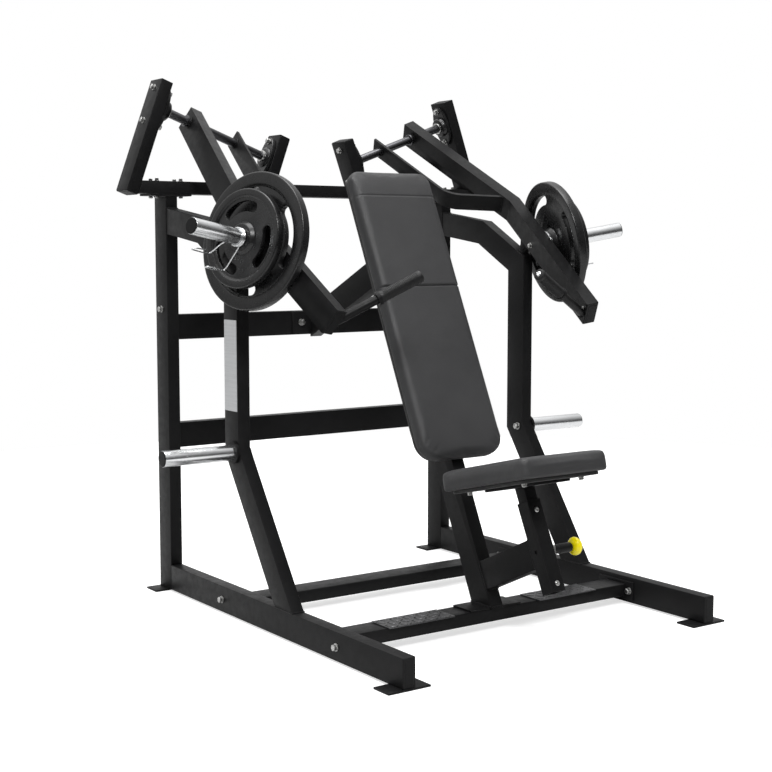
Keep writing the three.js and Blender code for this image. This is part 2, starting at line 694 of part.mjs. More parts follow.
// ---------- foot treads and name plate ----------
addPair("foot_tread", block(167, 410, 327, 423, CROSS_TOP, CROSS_TOP + 5), steel);
add("name_plate", block(-HALF_WIDTH - 1.5, -HALF_WIDTH, 879, 957, 664, 949), silver);

export default press;
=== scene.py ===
import json
from math import atan2, cos, exp, pi, radians, sin, tan, tanh

import bmesh
import bpy
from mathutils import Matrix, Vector

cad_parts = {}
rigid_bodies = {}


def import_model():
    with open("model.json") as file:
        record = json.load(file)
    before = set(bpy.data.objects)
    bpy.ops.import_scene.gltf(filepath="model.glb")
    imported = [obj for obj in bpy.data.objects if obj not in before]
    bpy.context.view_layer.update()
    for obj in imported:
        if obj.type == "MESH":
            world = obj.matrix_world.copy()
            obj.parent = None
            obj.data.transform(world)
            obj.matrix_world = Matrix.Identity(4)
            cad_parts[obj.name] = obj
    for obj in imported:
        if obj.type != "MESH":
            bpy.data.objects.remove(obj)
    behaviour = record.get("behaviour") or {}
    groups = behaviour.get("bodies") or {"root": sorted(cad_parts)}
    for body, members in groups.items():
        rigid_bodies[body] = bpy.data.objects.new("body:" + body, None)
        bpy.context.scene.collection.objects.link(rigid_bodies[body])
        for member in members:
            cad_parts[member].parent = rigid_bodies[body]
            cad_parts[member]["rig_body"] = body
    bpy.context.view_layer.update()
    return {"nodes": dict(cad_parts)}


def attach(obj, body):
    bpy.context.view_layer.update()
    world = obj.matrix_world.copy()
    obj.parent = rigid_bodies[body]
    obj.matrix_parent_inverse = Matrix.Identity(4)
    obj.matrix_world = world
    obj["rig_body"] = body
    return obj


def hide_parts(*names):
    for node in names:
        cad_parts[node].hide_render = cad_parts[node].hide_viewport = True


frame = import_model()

# ---------- main dimensions, in mm; y is counted from the rails' front ends ----------
MM = 0.001
CENTRE_Y = 729.4
HALF_WIDTH = 600
TUBE_W = 42.5
TUBE_D = 85
INNER_X = HALF_WIDTH - TUBE_W
SIDE_X = HALF_WIDTH - TUBE_W / 2
RAIL_TOP = 91
CROSS_TOP = 67
REAR_FRONT_Y = 1353
REAR_MID_Y = REAR_FRONT_Y + TUBE_D / 2
INCLINE = radians(25.1)
SEAT_TILT = radians(13.5)
LEAN = radians(20)
ARM_DROP = radians(32.9)
ARM_BEND = radians(17.7)
ARM_AT = -101
ARM_UPPER = 536
ARM_LOWER = 596
ARM_SINK = -6
SLEEVE_AT = 215
SLEEVE_END = 318
SLEEVE_RADIUS = 25
HORN_LENGTH = 252
GRIP_LENGTH = 150
PAD_END = 1441
# The front upright's leaning part, as (y, z); the posts' feet, as (x, z), and lengths.
UPRIGHT_FOOT = (585, 52.7)
UPRIGHT_KNEE = (917.75, 538.5)
OUTER_POST_FOOT = (720, 1355.7)
OUTER_POST_LENGTH = 392
INNER_POST_FOOT = (193.3, 1394)
INNER_POST_LENGTH = 174.4
# Bearings: thickness, place along the shaft, and the thickness of the oval flange.
OUTER_BEARING = 35.5
OUTER_BEARING_AT = 35.5
INNER_BEARING = 28.5
INNER_BEARING_AT = -375.3 - INNER_BEARING
FLANGE = 13
# Corners of the spine's section, across and along it.
SPINE_CORNERS = ((-23, -45), (23, -45), (23, 45), (-23, 45))

# ---------- floor and surrounding light ----------
FLOOR_RADIUS = 4.2
FLOOR_GLOW = 0.66
WORLD_BASE = 0.06
WORLD_SIDE = 0.75
WORLD_TOP = 1.2


def V(x, y, z):
    """A point in the machine's own millimetres, moved to the shared frame's origin."""
    return Vector((x, y - CENTRE_Y, z))


X = Vector((1, 0, 0))
Y = Vector((0, 1, 0))
Z = Vector((0, 0, 1))

# Arm directions of the right side: along the shaft, down the arm, and square to both, upwards.
SHAFT = Vector((cos(LEAN), 0, sin(LEAN)))
POST = Vector((-sin(LEAN), 0, cos(LEAN)))
ARM = Vector((0, -cos(ARM_DROP), 0)) - POST * sin(ARM_DROP)
UP = ARM.cross(SHAFT)
LEG = ARM * cos(ARM_BEND) - SHAFT * sin(ARM_BEND)
OUT = UP.cross(LEG)
PIVOT = V(562.6, REAR_MID_Y, 1622.1)
BEND = PIVOT + ARM * ARM_UPPER + SHAFT * ARM_AT + UP * ARM_SINK
HUB = BEND + LEG * SLEEVE_AT

# Along the spine and square to it, towards the user; the seat's sleeve is parallel to them.
SPINE = Vector((0, sin(INCLINE), cos(INCLINE)))
AHEAD = Vector((0, -cos(INCLINE), sin(INCLINE)))
SPINE_FOOT = V(0, 386, 79.5)
SEAT_FOOT = V(0, 73, 168)
PIN_AT = 126.4
SEAT_BACK = Vector((0, cos(SEAT_TILT), -sin(SEAT_TILT)))
SEAT_UP = Vector((0, sin(SEAT_TILT), cos(SEAT_TILT)))
SEAT_TOP = V(0, 35.9, 581.2)


# ---------- materials ----------
def material(name, colour, roughness, metallic=0.0, **sockets):
    made = bpy.data.materials.new(name)
    made.use_nodes = True
    shader = made.node_tree.nodes["Principled BSDF"]
    shader.inputs["Base Color"].default_value = (*colour, 1)
    shader.inputs["Roughness"].default_value = roughness
    shader.inputs["Metallic"].default_value = metallic
    for key, value in sockets.items():
        shader.inputs[key.replace("_", " ")].default_value = value
    return made


def node(mat, kind, **values):
    made = mat.node_tree.nodes.new(kind)
    for key, value in values.items():
        if key in made.inputs:
            made.inputs[key].default_value = value
        else:
            setattr(made, key, value)
    return made


def link(mat, a, b):
    mat.node_tree.links.new(a, b)


def coordinates(mat, scale=(1, 1, 1)):
    """Object coordinates, which are the shared frame's metres."""
    source = node(mat, "ShaderNodeTexCoord")
    mapping = node(mat, "ShaderNodeMapping", Scale=scale)
    link(mat, source.outputs["Object"], mapping.inputs["Vector"])
    return mapping.outputs["Vector"]


def noise(mat, where, scale, detail=4.0, roughness=0.55):
    made = node(mat, "ShaderNodeTexNoise", Scale=scale, Detail=detail, Roughness=roughness)
    link(mat, where, made.inputs["Vector"])
    return made.outputs["Fac"]


def ramp(mat, fac, low, high, at=(0.3, 0.7)):
    """Maps fac to a value or a colour between low and high."""
    made = node(mat, "ShaderNodeValToRGB")
    for stop, position, value in zip(made.color_ramp.elements, at, (low, high)):
        stop.position = position
        stop.color = (*value, 1) if isinstance(value, tuple) else (value, value, value, 1)
    link(mat, fac, made.inputs["Fac"])
    return made.outputs["Color"]


def principled(mat):
    return mat.node_tree.nodes["Principled BSDF"]


def bump(mat, height, strength, distance, below=None):
    made = node(mat, "ShaderNodeBump", Strength=strength, Distance=distance)
    link(mat, height, made.inputs["Height"])
    if below:
        link(mat, below, made.inputs["Normal"])
    link(mat, made.outputs["Normal"], principled(mat).inputs["Normal"])
    return made.outputs["Normal"]


def powder_coat():
    """Fine-textured black powder coat: orange peel and a faintly uneven tone."""
    mat = material("powder_coat", (0.0065, 0.0065, 0.0068), 0.45, 0.0, Specular_IOR_Level=0.14)
    where = coordinates(mat)
    cloud = noise(mat, where, 6.0, 3.0)
    colour = ramp(mat, cloud, (0.0052, 0.0052, 0.0055), (0.008, 0.008, 0.0083))
    link(mat, colour, principled(mat).inputs["Base Color"])
    link(mat, ramp(mat, noise(mat, where, 40.0, 5.0), 0.36, 0.5),
         principled(mat).inputs["Roughness"])
    bump(mat, noise(mat, where, 900.0, 2.0), 0.25, 0.0004)
    return mat


def cast_iron():
    """Painted casting: a coarser, glossier skin than the frame's coat."""
    mat = material("painted_casting", (0.0065, 0.0065, 0.0068), 0.26, Specular_IOR_Level=0.4)
    where = coordinates(mat)
    colour = ramp(mat, noise(mat, where, 14.0, 5.0), (0.0045, 0.0045, 0.0048),
                  (0.0085, 0.0085, 0.0088))
    link(mat, colour, principled(mat).inputs["Base Color"])
    link(mat, ramp(mat, noise(mat, where, 60.0, 6.0), 0.22, 0.36),
         principled(mat).inputs["Roughness"])
    bump(mat, noise(mat, where, 380.0, 4.0, 0.6), 0.1, 0.0005)
    return mat


def bright_metal(name, colour, low, high, scale):
    """Plated or bare metal with fine scratches along one direction."""
    mat = material(name, colour, low, 1.0)
    where = coordinates(mat, scale)
    scratches = noise(mat, where, 60.0, 8.0, 0.7)
    link(mat, ramp(mat, scratches, low, high), principled(mat).inputs["Roughness"])
    tone = tuple(c * 0.86 for c in colour)
    link(mat, ramp(mat, noise(mat, where, 9.0, 4.0), tone, colour),
         principled(mat).inputs["Base Color"])
    bump(mat, scratches, 0.06, 0.0002)
    return mat


def leatherette():
    """Grained vinyl: pebbled cells with creases between them, in an uneven black."""
    mat = material("leatherette", (0.028, 0.028, 0.029), 0.44, Specular_IOR_Level=0.34)
    where = coordinates(mat)
    warp = node(mat, "ShaderNodeVectorMath", operation="ADD")
    wobble = node(mat, "ShaderNodeTexNoise", Scale=180.0, Detail=2.0)
    link(mat, where, wobble.inputs["Vector"])
    scaled = node(mat, "ShaderNodeVectorMath", operation="SCALE", Scale=0.0018)
    link(mat, wobble.outputs["Color"], scaled.inputs[0])
    link(mat, where, warp.inputs[0])
    link(mat, scaled.outputs["Vector"], warp.inputs[1])
    cells = node(mat, "ShaderNodeTexVoronoi", Scale=520.0, feature="DISTANCE_TO_EDGE")
    link(mat, warp.outputs["Vector"], cells.inputs["Vector"])
    grain = ramp(mat, cells.outputs["Distance"], 0.0, 1.0, (0.0, 0.22))
    soft = noise(mat, where, 5.0, 3.0)
    colour = ramp(mat, soft, (0.026, 0.026, 0.027), (0.034, 0.034, 0.035))
    link(mat, colour, principled(mat).inputs["Base Color"])
    link(mat, ramp(mat, noise(mat, where, 22.0, 5.0), 0.42, 0.56),
         principled(mat).inputs["Roughness"])
    coarse = bump(mat, noise(mat, where, 60.0, 3.0), 0.08, 0.001)
    bump(mat, grain, 0.35, 0.0004, coarse)
    return mat


def rubber_grip(name="rubber", colour=(0.007, 0.007, 0.0073), gloss=0.26):
    mat = material(name, colour, 0.5, Specular_IOR_Level=gloss)
    where = coordinates(mat)
    link(mat, ramp(mat, noise(mat, where, 120.0, 4.0), 0.4, 0.58),
         principled(mat).inputs["Roughness"])
    bump(mat, noise(mat, where, 700.0, 3.0), 0.3, 0.0005)
    return mat


def plastic(name, colour, roughness=0.3):
    mat = material(name, colour, roughness, Coat_Weight=0.25, Coat_Roughness=0.15)
    where = coordinates(mat)
    shade = tuple(c * 0.88 for c in colour)
    link(mat, ramp(mat, noise(mat, where, 25.0, 3.0), shade, colour),
         principled(mat).inputs["Base Color"])
    bump(mat, noise(mat, where, 300.0, 2.0), 0.06, 0.0004)
    return mat


def painted_board():
    mat = material("painted_board", (0.02, 0.02, 0.02), 0.7)
    where = coordinates(mat, (1, 14, 1))
    link(mat, ramp(mat, noise(mat, where, 30.0, 6.0), 0.6, 0.8),
         principled(mat).inputs["Roughness"])
    bump(mat, noise(mat, where, 90.0, 6.0), 0.25, 0.0006)
    return mat


COAT = powder_coat()
IRON = cast_iron()
CHROME = bright_metal("chrome_plate", (0.82, 0.83, 0.84), 0.16, 0.3, (1, 12, 12))
STEEL = bright_metal("zinc_steel", (0.5, 0.5, 0.49), 0.22, 0.4, (6, 1, 1))
SHAFT_STEEL = bright_metal("shaft_steel", (0.1, 0.1, 0.105), 0.28, 0.42, (1, 10, 10))
TREAD = bright_metal("tread_plate", (0.1, 0.1, 0.103), 0.26, 0.42, (3, 3, 3))
LABEL = bright_metal("brushed_label", (0.62, 0.63, 0.64), 0.25, 0.42, (1, 1, 40))
LEATHER = leatherette()
RUBBER = rubber_grip()
CAP = rubber_grip("black_plastic", (0.006, 0.006, 0.0063), 0.14)
YELLOW = plastic("yellow_knob", (0.95, 0.8, 0.004), 0.22)
BOARD = painted_board()


# ---------- building blocks: a shape is (points in mm, faces) ----------
def joined(*shapes):
    points, faces = [], []
    for p, f in shapes:
        faces += [tuple(i + len(points) for i in face) for face in f]
        points += p
    return points, faces


def mirrored(shape):
    points, faces = shape
    return [Vector((-p.x, p.y, p.z)) for p in points], [tuple(reversed(f)) for f in faces]


def piece(name, shape, mat, slot, body, smooth=32, replaced=()):
    points, faces = shape
    mesh = bpy.data.meshes.new(name)
    mesh.from_pydata([p * MM for p in points], [], faces)
    mesh.materials.append(mat)
    mesh.shade_smooth()
    mesh.set_sharp_from_angle(angle=radians(smooth))
    obj = bpy.data.objects.new(name, mesh)
    bpy.context.scene.collection.objects.link(obj)
    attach(obj, body)
    if replaced:
        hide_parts(*replaced)
    return obj


def pair(name, shape, mat, slot, body, replaced=(), **options):
    """A piece of the right side and its mirror image; body and replaced take the side's name."""
    for side, made in (("right", shape), ("left", mirrored(shape))):
        piece(
            f"{name}_{side}", made, mat, slot, body.format(side), **options,
            replaced=[n.format(side) for n in replaced],
        )


def basis(axis):
    """Two directions square to axis, and axis itself."""
    axis = axis.normalized()
    a = axis.cross(Z if abs(axis.z) < 0.9 else X).normalized()
    return a, axis.cross(a), axis


def soften(profile, radius, steps=3):
    """Rounds the corners of an open profile of (radius, height) points."""
    points = [Vector(p) for p in profile]
    out = [points[0]]
    for before, here, after in zip(points, points[1:], points[2:]):
        a, b = before - here, after - here
        cut = min(radius, a.length * 0.45, b.length * 0.45)
        if cut < 0.05:
            out.append(here)
            continue
        start, end = here + a.normalized() * cut, here + b.normalized() * cut
        for i in range(steps + 1):
            t = i / steps
            out.append(start * (1 - t) ** 2 + here * 2 * t * (1 - t) + end * t * t)
    return out + [points[-1]]


def lathe(profile, origin, axis, segments=48, radius=1.2):
    """A turned shape; the profile runs from the axis or a bore, outwards and back."""
    a, b, c = basis(axis)
    rings = soften(profile, radius) if radius else [Vector(p) for p in profile]
    closed = rings[0].x > 0.01
    points, faces, index = [], [], []
    for ring in rings:
        if ring.x < 0.01:
            index.append([len(points)] * segments)
            points.append(origin + c * ring.y)
            continue
        index.append([len(points) + i for i in range(segments)])
        for i in range(segments):
            angle = 2 * pi * i / segments
            points.append(origin + (a * cos(angle) + b * sin(angle)) * ring.x + c * ring.y)
    if closed:
        index.append(index[0])
    for low, high in zip(index, index[1:]):
        for i in range(segments):
            j = (i + 1) % segments
            corners = (low[i], low[j], high[j], high[i])
            face = tuple(dict.fromkeys(corners))
            if len(face) > 2:
                faces.append(face)
    return points, faces


def rod(start, end, radius, segments=32, soft=1.5):
    run = end - start
    return lathe([(0, 0), (radius, 0), (radius, run.length), (0, run.length)], start, run,
                 segments, soft)


def sweep(path, radius, segments=10, closed=False):
    """A round bar along a list of points."""
    count = len(path)
    points, faces = [], []
    normal = None
    for i, here in enumerate(path):
        ahead = path[(i + 1) % count] if closed or i + 1 < count else here
        behind = path[i - 1] if closed or i else here
        tangent = (ahead - behind).normalized()
        normal = basis(tangent)[0] if normal is None else normal
        normal = (normal - tangent * normal.dot(tangent)).normalized()
        side = tangent.cross(normal)
        r = radius(i) if callable(radius) else radius
        for k in range(segments):
            angle = 2 * pi * k / segments
            points.append(here + (normal * cos(angle) + side * sin(angle)) * r)
    for i in range(count if closed else count - 1):
        low, high = i * segments, ((i + 1) % count) * segments
        for k in range(segments):
            n = (k + 1) % segments
            faces.append((low + k, low + n, high + n, high + k))
    if not closed:
        faces.append(tuple(reversed(range(segments))))
        faces.append(tuple((count - 1) * segments + k for k in range(segments)))
    return points, faces


def spline(points, steps=8):
    """A Catmull-Rom curve through the points."""
    out = []
    padded = [points[0] * 2 - points[1], *points, points[-1] * 2 - points[-2]]
    for a, b, c, d in zip(padded, padded[1:], padded[2:], padded[3:]):
        for i in range(steps):
            t = i / steps
            out.append(
                (b * 2 + (c - a) * t + (a * 2 - b * 5 + c * 4 - d) * t * t
                 + (b * 3 - a - c * 3 + d) * t ** 3) * 0.5
            )
    return out + [points[-1]]


def slab(outline, origin, ex, ey, low, high, soft=1.0):
    """A flat plate of any outline, with its edges eased; ex x ey is its outward side."""
    ez = ex.cross(ey).normalized()
    count = len(outline)
    rings = [(low, soft), (low + soft, 0), (high - soft, 0), (high, soft)]
    points, faces = [], []
    for z, inset in rings:
        for i, p in enumerate(outline):
            a = (Vector(outline[i]) - Vector(outline[i - 1])).normalized()
            b = (Vector(outline[(i + 1) % count]) - Vector(p)).normalized()
            n = Vector((a.y + b.y, -a.x - b.x)).normalized()
            q = Vector(p) - n * inset
            points.append(origin + ex * q.x + ey * q.y + ez * z)
    for ring in range(len(rings) - 1):
        for i in range(count):
            j = (i + 1) % count
            base = ring * count
            faces.append((base + i, base + j, base + count + j, base + count + i))
    faces.append(tuple(reversed(range(count))))
    faces.append(tuple(range((len(rings) - 1) * count, len(rings) * count)))
    return points, faces


def rectangle(x0, x1, y0, y1, radius=2.0, steps=4):
    out = []
    for cx, cy, start in (
        (x1 - radius, y0 + radius, -pi / 2), (x1 - radius, y1 - radius, 0),
        (x0 + radius, y1 - radius, pi / 2), (x0 + radius, y0 + radius, pi),
    ):
        for i in range(steps + 1):
            angle = start + pi / 2 * i / steps
            out.append((cx + radius * cos(angle), cy + radius * sin(angle)))
    return out


def hexagon(size, turn=0.0):
    r = size / 2 / cos(pi / 6)
    return [(r * cos(turn + pi / 3 * i), r * sin(turn + pi / 3 * i)) for i in range(6)]


def bolt(origin, axis, size=19, turn=0.3, washer=True):
    """A hexagon bolt head on its washer: size is across the flats."""
    a, b, c = basis(axis)
    start = 2.2 if washer else 0.2
    head = slab(hexagon(size, turn), origin, a, b, start, start + size * 0.58, 0.9)
    top = lathe([(0, start + size * 0.58 - 1), (size * 0.43, start + size * 0.58 - 1),
                 (size * 0.4, start + size * 0.58 + 0.5), (0, start + size * 0.58 + 0.5)],
                origin, axis, 24, 0.4)
    shapes = [head, top]
    if washer:
        shapes.append(lathe([(0, 0), (size * 0.68, 0), (size * 0.68, 2.4), (0, 2.4)],
                            origin, axis, 28, 0.5))
    return joined(*shapes)


def button(origin, axis, radius=8, height=3.5):
    """A low domed screw head with a socket."""
    return lathe([(0, height * 0.55), (radius * 0.42, height * 0.55), (radius * 0.48, height),
                  (radius * 0.75, height * 0.86), (radius, height * 0.3), (radius, 0),
                  (0, 0)][::-1], origin, axis, 28, 0.6)


def end_cap(origin, ex, ey, width, depth, flush=False):
    """A plastic plug in a tube's end: a rim on the wall and a slightly raised face."""
    if flush:
        return slab(rectangle(3 - width / 2, width / 2 - 3, 3 - depth / 2, depth / 2 - 3, 3),
                    origin, ex, ey, -8, -0.4, 1.0)
    outer = slab(rectangle(-width / 2, width / 2, -depth / 2, depth / 2, 4), origin, ex, ey,
                 -1, 2.4, 1.0)
    inner = slab(rectangle(-width / 2 + 7, width / 2 - 7, -depth / 2 + 7, depth / 2 - 7, 5),
                 origin, ex, ey, 1.5, 3.1, 0.8)
    return joined(outer, inner)


def bead(corners, radius=2.6, step=5.0):
    """A weld bead round a polygon: small ripples along its length."""
    path = []
    count = len(corners)
    for i, here in enumerate(corners):
        run = corners[(i + 1) % count] - here
        steps = max(2, int(run.length / step))
        path += [here + run * (k / steps) for k in range(steps)]
    return sweep(path, lambda i: radius * (1.0 + 0.16 * (i % 2)), 8, closed=True)


def frame_tube(name, mat=COAT, width=3.2, shortest=24.0):
    """Copies a CAD tube and rounds its long outer edges, as a drawn tube's are."""
    source = frame["nodes"][name]
    bm = bmesh.new()
    bm.from_mesh(source.data)
    bmesh.ops.remove_doubles(bm, verts=bm.verts, dist=1e-5)
    bmesh.ops.dissolve_limit(bm, angle_limit=radians(0.6), verts=bm.verts, edges=bm.edges)
    long_edges = [
        e for e in bm.edges
        if len(e.link_faces) == 2 and e.is_convex and e.calc_length() > shortest * MM
        and e.calc_face_angle() > radians(50)
    ]
    bmesh.ops.bevel(bm, geom=long_edges, offset=width * MM, segments=3, profile=0.5,
                    affect="EDGES", clamp_overlap=True)
    mesh = bpy.data.meshes.new(name + "_tube")
    bm.to_mesh(mesh)
    bm.free()
    mesh.materials.clear()
    mesh.materials.append(mat)
    mesh.shade_smooth()
    mesh.set_sharp_from_angle(angle=radians(32))
    obj = bpy.data.objects.new(name + "_tube", mesh)
    bpy.context.scene.collection.objects.link(obj)
    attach(obj, source["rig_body"])
    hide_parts(name)
    return obj


# ---------- frame tubes ----------
SIDES = ("right", "left")
for side in SIDES:
    for name in ("base_rail", "rear_upright", "front_upright", "post_outer", "post_inner",
                 "arm_main"):
        frame_tube(f"{name}_{side}")
    frame_tube(f"arm_bar_{side}", width=1.2, shortest=30)
    for name in ("foot_plate_front", "foot_plate_rear"):
        frame_tube(f"{name}_{side}", width=1.0, shortest=4)
for name in ("base_crossbar_front", "base_crossbar_rear", "rear_crossbar_upper",
             "rear_crossbar_lower", "top_beam", "backrest_spine", "spine_strut", "seat_beam",
             "seat_sleeve"):
    frame_tube(name)
frame_tube("seat_post", width=2.4)

# ---------- plugs in the open ends of the tubes ----------
pair("rail_plug", end_cap(V(SIDE_X, 0, 6 + TUBE_D / 2), X, Z, TUBE_W - 1, TUBE_D - 1),
     CAP, "rubber", "frame")


def post_point(x, z, length):
    return V(x, REAR_MID_Y, z) + POST * length


caps = [
    end_cap(post_point(*OUTER_POST_FOOT, OUTER_POST_LENGTH), SHAFT, Y, TUBE_W - 1, TUBE_D - 1,
            flush=True),
    end_cap(post_point(*OUTER_POST_FOOT, 0), -SHAFT, Y, TUBE_W - 1, TUBE_D - 1),
    end_cap(post_point(*INNER_POST_FOOT, INNER_POST_LENGTH), SHAFT, Y, TUBE_W - 1, TUBE_D - 1),
]
pair("post_plugs", joined(*caps), CAP, "rubber", "frame")
arm_tip = BEND + LEG * ARM_LOWER
arm_back = PIVOT + SHAFT * ARM_AT + UP * ARM_SINK - ARM * 50
pair("arm_plugs", joined(
    end_cap(arm_tip, OUT, UP, TUBE_W - 1, TUBE_D - 1),
    end_cap(arm_back, -SHAFT, UP, TUBE_W - 1, TUBE_D - 1, flush=True)), CAP, "rubber", "arm_{}")
piece("spine_plug", end_cap(SPINE_FOOT + SPINE * 1250, X, AHEAD * -1, 45, 89),
      CAP, "rubber", "frame")
piece("seat_sleeve_plug", joined(
    *[slab(rectangle(*span, 1), SEAT_FOOT + SPINE * 278, X, -AHEAD, -1, 2.5, 0.6)
      for span in ((-25, 25, 21.6, 25), (-25, 25, -25, -21.6), (-25, -21.6, -21, 21),
                   (21.6, 25, -21, 21))]), CAP, "rubber", "frame")

# ---------- weld beads ----------
half_w, half_d = TUBE_W / 2, TUBE_D / 2
beads = []
upright_run = UPRIGHT_KNEE[0] - UPRIGHT_FOOT[0]
upright_rise = UPRIGHT_KNEE[1] - UPRIGHT_FOOT[1]
foot_y = UPRIGHT_FOOT[0] + (RAIL_TOP - UPRIGHT_FOOT[1]) * upright_run / upright_rise
foot_half = half_d / cos(atan2(upright_run, upright_rise))
beads.append(bead([V(INNER_X + TUBE_W, foot_y - foot_half, RAIL_TOP + 1),
                   V(INNER_X + TUBE_W, foot_y + foot_half, RAIL_TOP + 1),
                   V(INNER_X, foot_y + foot_half, RAIL_TOP + 1),
                   V(INNER_X, foot_y - foot_half, RAIL_TOP + 1)], 2.2))
top_z = 1261.4
top_half = half_d / cos(radians(8))
beads.append(bead([V(HALF_WIDTH, REAR_FRONT_Y - 1, top_z - top_half),
                   V(HALF_WIDTH, REAR_FRONT_Y - 1, top_z + top_half),
                   V(INNER_X, REAR_FRONT_Y - 1, top_z + top_half),
                   V(INNER_X, REAR_FRONT_Y - 1, top_z - top_half)], 2.2))
beads.append(bead([V(x, y, 1344) for x, y in (
    (INNER_X, REAR_FRONT_Y), (HALF_WIDTH, REAR_FRONT_Y),
    (HALF_WIDTH, REAR_FRONT_Y + TUBE_D), (INNER_X, REAR_FRONT_Y + TUBE_D))], 2.2))
inner_x = INNER_POST_FOOT[0]
inner_half = half_w / cos(LEAN)
beads.append(bead([V(x, y, 1395) for x, y in (
    (inner_x - inner_half, REAR_FRONT_Y), (inner_x + inner_half, REAR_FRONT_Y),
    (inner_x + inner_half, REAR_FRONT_Y + TUBE_D),
    (inner_x - inner_half, REAR_FRONT_Y + TUBE_D))], 2.2))
pair("frame_welds", joined(*beads), COAT, "coat", "frame")

spine_y = 386 + tan(INCLINE) * (73 - 79.5)
spine_half = 45 / cos(INCLINE)
centre_beads = [bead([V(x, y, 73.5) for x, y in (
    (-23, spine_y - spine_half), (23, spine_y - spine_half),
    (23, spine_y + spine_half), (-23, spine_y + spine_half))], 2.4)]
beam_foot = SPINE_FOOT + SPINE * 72.8
centre_beads.append(bead([beam_foot + AHEAD * 46 + X * x + SPINE * d
                          for x, d in SPINE_CORNERS], 2.2))
sleeve_back = SEAT_FOOT - AHEAD * 26
along = (beam_foot - sleeve_back).dot(SPINE)
centre_beads.append(bead([sleeve_back + SPINE * (along + d) + X * x
                          for x, d in SPINE_CORNERS], 2.0))
strut_foot = SPINE_FOOT + SPINE * 1163.4 - AHEAD * 46
centre_beads.append(bead([strut_foot + X * x + SPINE * d
                          for x, d in SPINE_CORNERS], 2.2))
piece("centre_welds", joined(*centre_beads), COAT, "coat", "frame")

arm_beads = []
handle_tip = V(229.3, 419.1, 1090.6)
handle_root = V(490.4, 496.8, 956)
grip_axis = (handle_tip - handle_root).normalized()
reach = (handle_root - BEND).dot(-OUT) - half_w
leg_face = handle_root + grip_axis * (-reach / grip_axis.dot(-OUT))
grip_a, grip_b, _ = basis(grip_axis)
arm_beads.append(sweep(
    [leg_face + grip_axis * 1 + (grip_a * cos(t) + grip_b * sin(t)) * 14.5
     for t in (2 * pi * i / 28 for i in range(28))], 2.2, 8, closed=True))
bar_hit = PIVOT + ARM * 490 + SHAFT * (ARM_AT - half_w - 1)
arm_beads.append(bead([bar_hit + UP * u + ARM * d
                       for u, d in ((-32, -8), (32, -8), (32, 8), (-32, 8))], 2.2))
for at, size in ((ARM_AT, half_w), (-273, 5)):
    for way in (-1, 1):
        ring = PIVOT + SHAFT * (at + way * (size + 0.8))
        arm_beads.append(sweep(
            [ring + (ARM * cos(t) + UP * sin(t)) * 16.5
             for t in (2 * pi * i / 30 for i in range(30))], 2.2, 8, closed=True))
pair("arm_welds", joined(*arm_beads), COAT, "coat", "arm_{}")

# ---------- bolts ----------
side_bolts = []
for y, shows_outside in ((321, True), (449, False), (837, False), (993, True)):
    if shows_outside:
        side_bolts.append(bolt(V(HALF_WIDTH, y, 46.5), X, 17, 0.2 + y))
    side_bolts.append(bolt(V(INNER_X - 6, y, 46.5), -X, 17, 0.5 + y))
side_bolts.append(bolt(V(HALF_WIDTH, 1396, 966), X, 17, 0.7))
side_bolts.append(bolt(V(INNER_X, 899, 535), -X, 19, 0.1))
for x in (SIDE_X - 44, SIDE_X + 44):
    for y in (REAR_MID_Y - 24, REAR_MID_Y + 24):
        side_bolts.append(bolt(V(x, y, 1394), Z, 12, x + y))
        side_bolts.append(bolt(V(x, y, 1345), -Z, 12, x - y, washer=False))
for at, way in ((OUTER_BEARING_AT, -1), (INNER_BEARING_AT, 1)):
    for n in (-59, 59):
        hole = PIVOT + SHAFT * at + POST * n
        side_bolts.append(bolt(hole + SHAFT * way * FLANGE, SHAFT * way, 16, 0.4 + n))
        side_bolts.append(bolt(hole - SHAFT * way * TUBE_W, -SHAFT * way, 16, 0.9 + n))
pair("frame_bolts", joined(*side_bolts), STEEL, "steel", "frame")
piece("plate_bolts", joined(
    bolt(V(-62, 1369, 906), -Y, 18, 0.2), bolt(V(62, 1369, 906), -Y, 18, 0.5)),
    STEEL, "steel", "frame")
pair("arm_bolts", joined(
    bolt(PIVOT + ARM * 713 + SHAFT * -177 + UP * -21 - OUT * 1, -OUT, 14, 0.3),
    bolt(leg_face + UP * 24, -OUT, 9, 0.1)),
    STEEL, "steel", "arm_{}")
sleeve_front = AHEAD * 25
piece("sleeve_screws", joined(
    button(SEAT_FOOT + SPINE * 24 + sleeve_front, AHEAD, 8.5),
    button(SEAT_FOOT + SPINE * 248 + sleeve_front, AHEAD, 8.5)), STEEL, "steel", "frame")

# ---------- bearings and shafts ----------
def bearing(face, thickness, way):
    """A flange bearing as (housing, inner ring); face is where it meets its post."""
    axis = SHAFT * way
    origin = PIVOT + SHAFT * face
    oval = [(40 * cos(t), 74 * sin(t)) for t in (2 * pi * i / 64 for i in range(64))]
    flange = slab(oval, origin, POST.cross(axis).normalized(), POST, 0.3, FLANGE, 2.2)
    dome = lathe([(16, 0.5), (37, 0.5), (37, FLANGE + 3), (32, thickness - 8), (28, thickness - 6),
                  (16, thickness - 6)], origin, axis, 56, 2.4)
    race = lathe([(15.6, 2), (21, 2), (21, thickness), (15.6, thickness)], origin, axis, 40, 0.8)
    nipple = rod(origin + axis * (FLANGE + 2) + Y * 36, origin + axis * (FLANGE + 6) + Y * 45,
                 3, 12, 0.6)
    return joined(flange, dome, nipple), race


